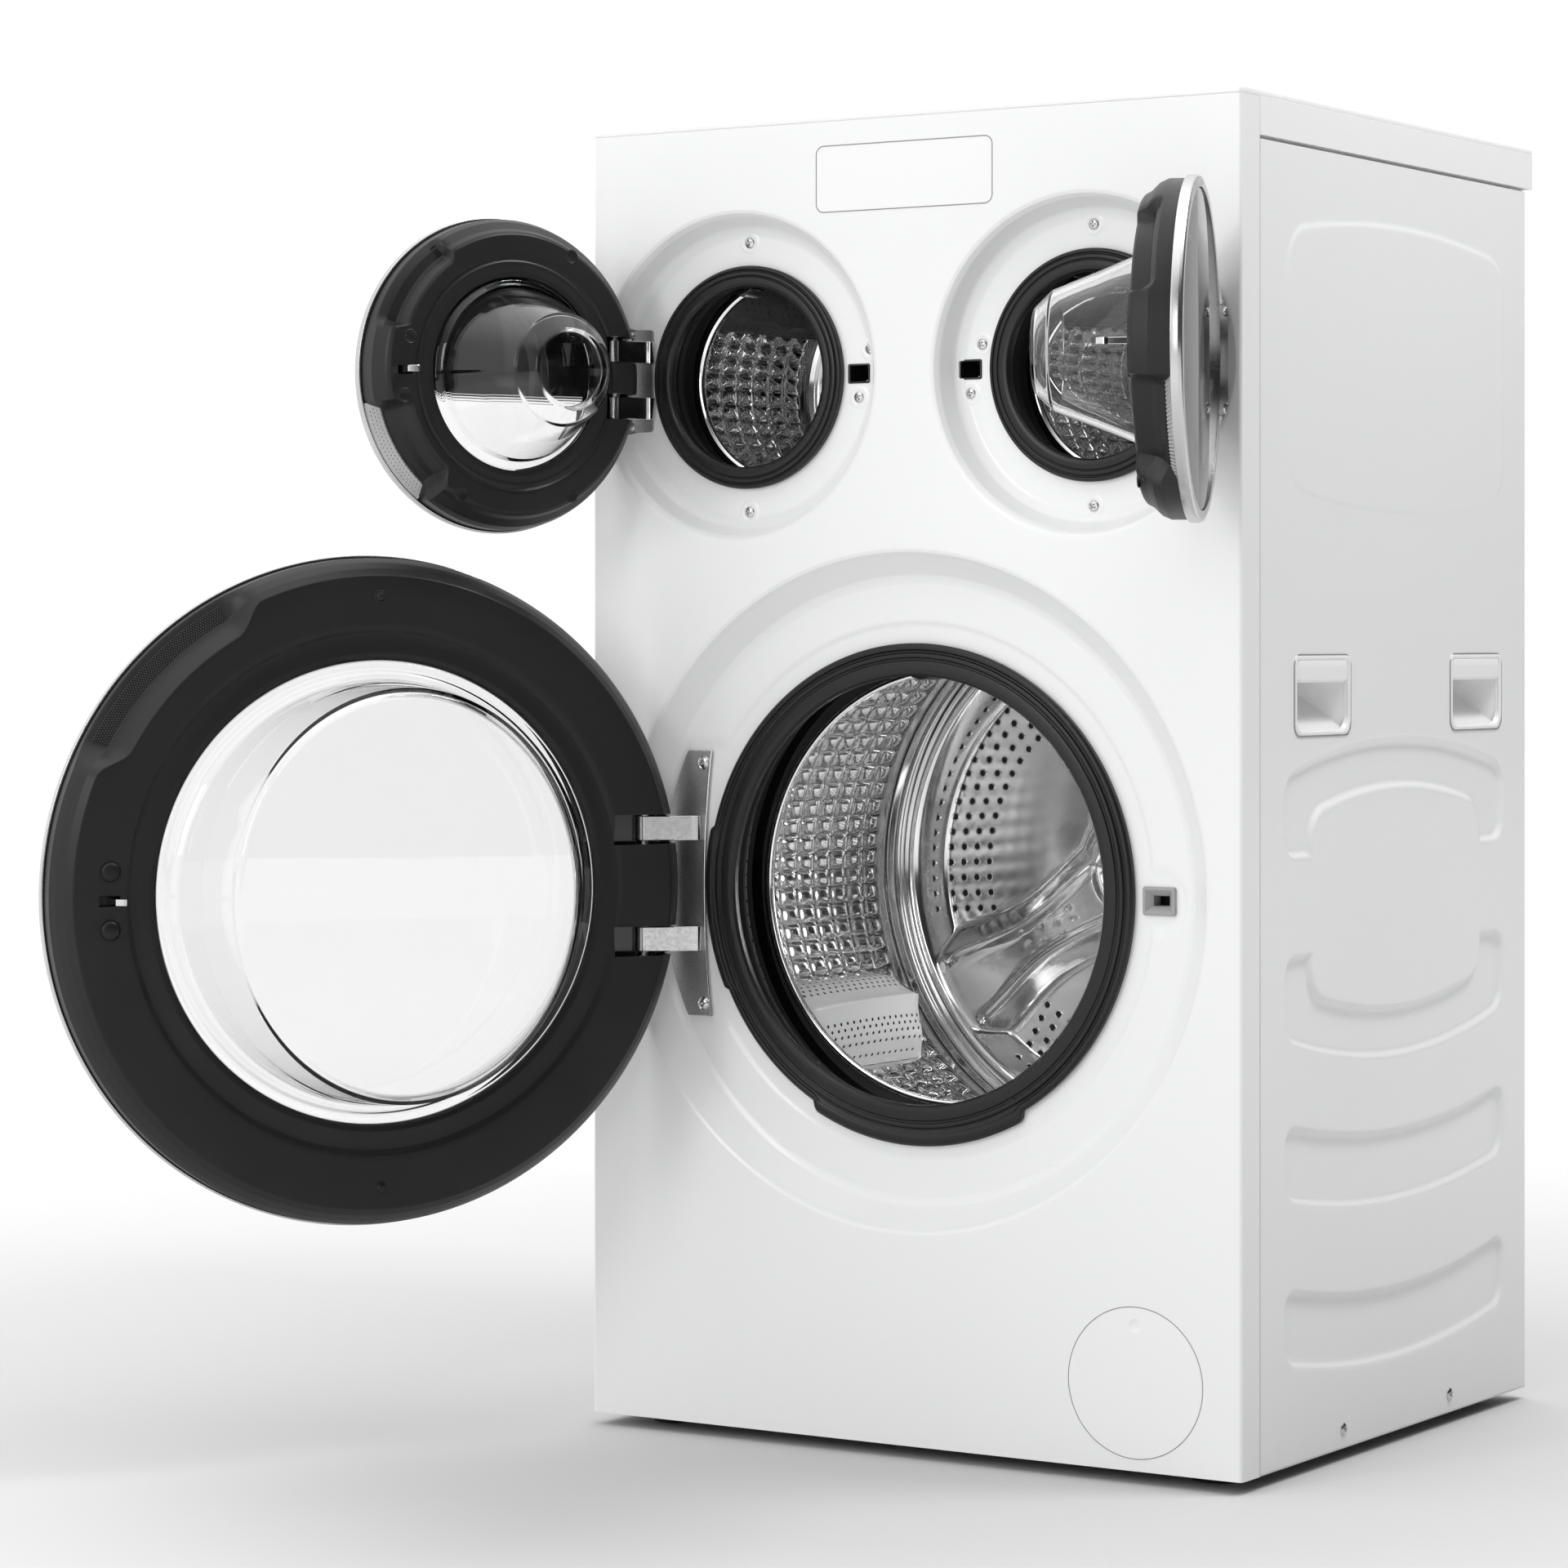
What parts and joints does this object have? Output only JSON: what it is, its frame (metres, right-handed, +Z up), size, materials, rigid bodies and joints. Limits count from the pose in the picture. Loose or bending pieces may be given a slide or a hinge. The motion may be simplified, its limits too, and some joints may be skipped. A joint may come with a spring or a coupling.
{
  "type": "multi-drum washer dryer",
  "caption": "Front-loading laundry cabinet with a large drum low down, small side-by-side drums above it and round glass doors standing open.",
  "frame": {"origin": "on the floor, at the centre of the levelling feet's pads", "axes": "+Z up, -Y out of the front face, +X to the right seen from the front"},
  "size_m": [0.8802, 0.9844, 1.062],
  "materials": {
    "white_paint": "satin",
    "white_plastic": "satin",
    "control_surface": "gloss",
    "galvanised_sheet": "matte",
    "black_plastic": "matte",
    "grey_plastic": "matte",
    "zinc_steel": "satin",
    "filter_blue": "matte",
    "seal_rubber": "matte",
    "tub_plastic": "matte",
    "lock_plastic": "satin",
    "bracket_metal": "textured",
    "weight_iron": "matte",
    "motor_case": "matte",
    "belt_rubber": "matte",
    "drum_steel": "polished",
    "lifter_plastic": "satin",
    "small_lifter_plastic": "satin",
    "silver_rim": "satin",
    "clear_glass": "gloss",
    "tinted_glass": "gloss",
    "charcoal_plastic": "grained",
    "chrome_metal": "polished"
  },
  "bodies": {
    "cabinet": {"base_pan": "galvanised_sheet", "levelling_feet": "black_plastic", "left_side_panel": "white_paint", "right_side_panel": "white_paint", "side_grips": "white_plastic", "front_panel": "white_paint", "panel_dishes": "white_paint", "rear_panel": "galvanised_sheet", "top_cover": "white_plastic", "control_panel": "control_surface", "inlet_valves": "white_plastic", "drain_spigot": "grey_plastic", "mains_inlet": "black_plastic", "drain_pump": "grey_plastic", "filter_housing": "grey_plastic", "panel_screws": "zinc_steel", "large_seal": "seal_rubber", "large_tub_front": "tub_plastic", "large_tub_rear": "tub_plastic", "door_locks": "lock_plastic", "hinge_brackets": "bracket_metal", "hinge_pins": "zinc_steel", "tub_suspension": "zinc_steel", "counterweights": "weight_iron", "drive_motor": "motor_case", "drive_belt": "belt_rubber", "drum_bearings": "zinc_steel", "tub_heater": "zinc_steel", "small_seals": "seal_rubber", "small_tubs": "tub_plastic", "small_motors": "motor_case"},
    "filter_cover": {"filter_cover": "white_plastic"},
    "filter_plug": {"filter_plug": "filter_blue"},
    "motor_pulley": {"motor_pulley": "zinc_steel"},
    "large_drum": {"large_drum_shell": "drum_steel", "large_drum_back": "drum_steel", "large_drum_lifters": "lifter_plastic", "large_drum_spider": "motor_case", "large_drum_pulley": "motor_case"},
    "large_door": {"large_door_rim": "silver_rim", "large_door_glass": "clear_glass", "large_door_frame": "charcoal_plastic", "large_door_bowl": "clear_glass"},
    "large_hook": {"large_door_hook": "chrome_metal"},
    "left_drum": {"left_drum_shell": "drum_steel", "left_drum_back": "drum_steel", "left_drum_lifters": "small_lifter_plastic"},
    "left_door": {"left_door_rim": "silver_rim", "left_door_glass": "tinted_glass", "left_door_frame": "charcoal_plastic", "left_door_bowl": "clear_glass"},
    "left_hook": {"left_door_hook": "chrome_metal"},
    "right_drum": {"right_drum_shell": "drum_steel", "right_drum_back": "drum_steel", "right_drum_lifters": "small_lifter_plastic"},
    "right_door": {"right_door_rim": "silver_rim", "right_door_glass": "tinted_glass", "right_door_frame": "charcoal_plastic", "right_door_bowl": "clear_glass"},
    "right_hook": {"right_door_hook": "chrome_metal"}
  },
  "joints": [
    {"name": "large_door_hinge", "type": "hinge", "parent": "cabinet", "child": "large_door", "pos_m": [-0.2374, -0.2855, 0.446], "axis": [0, 0, -1], "range_deg": [-122.4, 5.6]},
    {"name": "left_door_hinge", "type": "hinge", "parent": "cabinet", "child": "left_door", "pos_m": [-0.268, -0.2835, 0.8563], "axis": [0, 0, -1], "range_deg": [-112.6, 1.4]},
    {"name": "right_door_hinge", "type": "hinge", "parent": "cabinet", "child": "right_door", "pos_m": [0.268, -0.2835, 0.8563], "axis": [0, 0, 1], "range_deg": [-111, 3]},
    {"name": "large_hook_pivot", "type": "hinge", "parent": "large_door", "child": "large_hook", "pos_m": [-0.4606, -0.68014, 0.444], "axis": [0, 0, 1], "range_deg": [0, 5], "stiffness_Nm_per_rad": 0.2, "springref_deg": -5.73},
    {"name": "left_hook_pivot", "type": "hinge", "parent": "left_door", "child": "left_hook", "pos_m": [-0.3312, -0.48997, 0.8563], "axis": [0, 0, 1], "range_deg": [0, 5], "stiffness_Nm_per_rad": 0.2, "springref_deg": -5.73},
    {"name": "right_hook_pivot", "type": "hinge", "parent": "right_door", "child": "right_hook", "pos_m": [0.32541, -0.49165, 0.8563], "axis": [0, 0, -1], "range_deg": [0, 5], "stiffness_Nm_per_rad": 0.2, "springref_deg": -5.73},
    {"name": "large_drum_spin", "type": "hinge", "parent": "cabinet", "child": "large_drum", "pos_m": [0, -0.0725, 0.446], "axis": [0, 1, 0], "continuous": true},
    {"name": "motor_pulley_spin", "type": "hinge", "parent": "cabinet", "child": "motor_pulley", "pos_m": [-0.08, 0.1775, 0.105], "axis": [0, 1, 0], "continuous": true},
    {"name": "left_drum_spin", "type": "hinge", "parent": "cabinet", "child": "left_drum", "pos_m": [-0.1585, -0.0725, 0.8563], "axis": [0, 1, 0], "continuous": true},
    {"name": "right_drum_spin", "type": "hinge", "parent": "cabinet", "child": "right_drum", "pos_m": [0.1585, -0.0725, 0.8563], "axis": [0, 1, 0], "continuous": true},
    {"name": "filter_cover_pull", "type": "slide", "parent": "cabinet", "child": "filter_cover", "axis": [0, -1, 0], "range_m": [0, 0.03]},
    {"name": "filter_plug_turn", "type": "hinge", "parent": "cabinet", "child": "filter_plug", "pos_m": [0.2065, -0.2525, 0.0773], "axis": [0, -1, 0], "range_deg": [0, 90]}
  ],
  "couplings": [
    {"joint": "motor_pulley_spin", "follows": "large_drum_spin", "ratio": 15}
  ]
}
